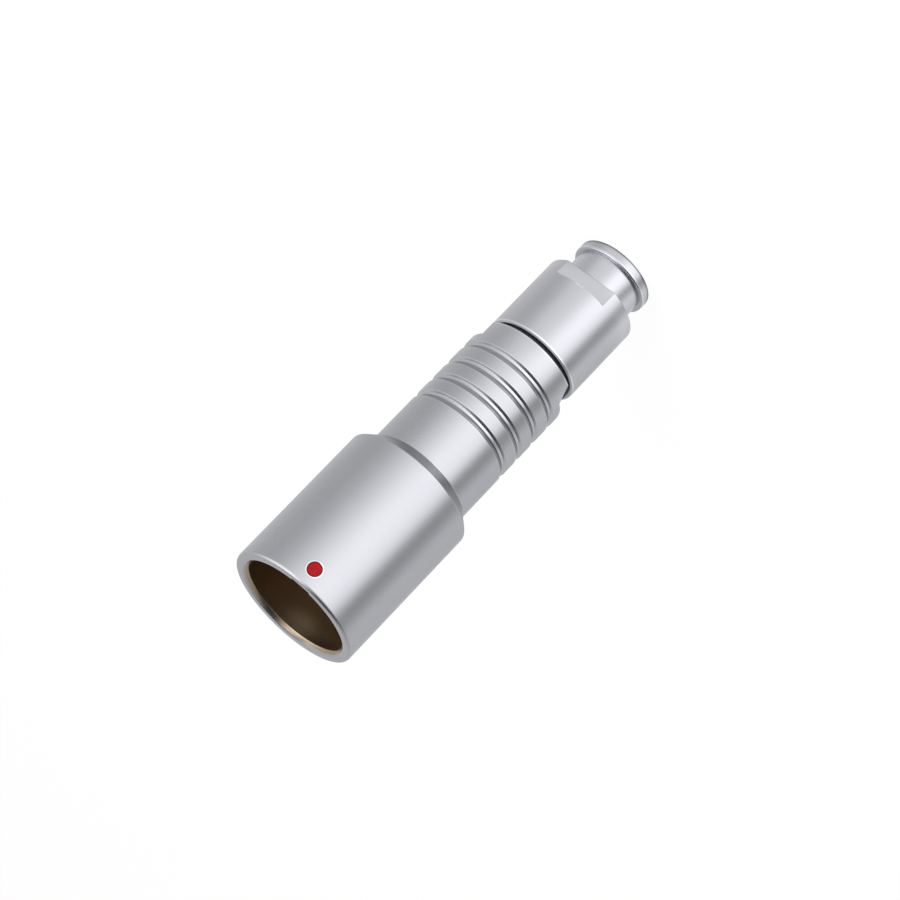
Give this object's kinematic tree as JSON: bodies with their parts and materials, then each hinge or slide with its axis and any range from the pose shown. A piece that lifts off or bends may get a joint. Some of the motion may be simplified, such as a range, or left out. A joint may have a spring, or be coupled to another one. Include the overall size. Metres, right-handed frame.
{
  "type": "straight push-pull circular cable connector",
  "caption": "Straight free socket of a round push-pull cable connector: keyed mating bore, grooved grip and a screwed collet nut.",
  "frame": {"origin": "centre of the collet nut's rear flange face, which the connector stands on", "axes": "+Z along the connector's axis to the mating mouth; the alignment dot and the key slot face -Y"},
  "size_m": [0.019, 0.019, 0.065],
  "materials": {
    "satin_chrome": "turned brass with a satin chrome plate",
    "plain_nickel": "turned brass with a plain nickel plate",
    "gilt_bronze": "thin gilded bronze",
    "gilt_contact": "gilded brass",
    "grey_resin": "moulded insulator resin",
    "black_rubber": "moulded seal rubber",
    "red_enamel": "filled enamel"
  },
  "bodies": {
    "nut": {"collet_nut": "satin_chrome", "nut_seal": "black_rubber"},
    "clamp": {"cable_collet": "plain_nickel", "thrust_washer": "plain_nickel", "cable_gasket": "black_rubber"},
    "shell": {"outer_shell": "satin_chrome", "alignment_dot": "red_enamel", "mating_seal": "black_rubber", "earthing_crown": "gilt_bronze", "front_insulator": "grey_resin", "rear_insulator": "grey_resin", "half_bushing_left": "plain_nickel", "half_bushing_right": "plain_nickel", "contact_1": "gilt_contact", "contact_2": "gilt_contact", "contact_3": "gilt_contact", "contact_4": "gilt_contact", "contact_5": "gilt_contact", "contact_6": "gilt_contact", "contact_7": "gilt_contact", "contact_8": "gilt_contact"}
  },
  "joints": [
    {"name": "nut_turn", "type": "hinge", "parent": "nut", "child": "clamp", "pos_m": [0, 0, 0.0179], "axis": [0, 0, 1], "range_deg": [0, 2160]},
    {"name": "thread_travel", "type": "slide", "parent": "clamp", "child": "shell", "axis": [0, 0, 1], "range_m": [0, 0.0045]}
  ],
  "couplings": [
    {"joint": "nut_turn", "follows": "thread_travel", "rad_per_m": 8377.6}
  ]
}
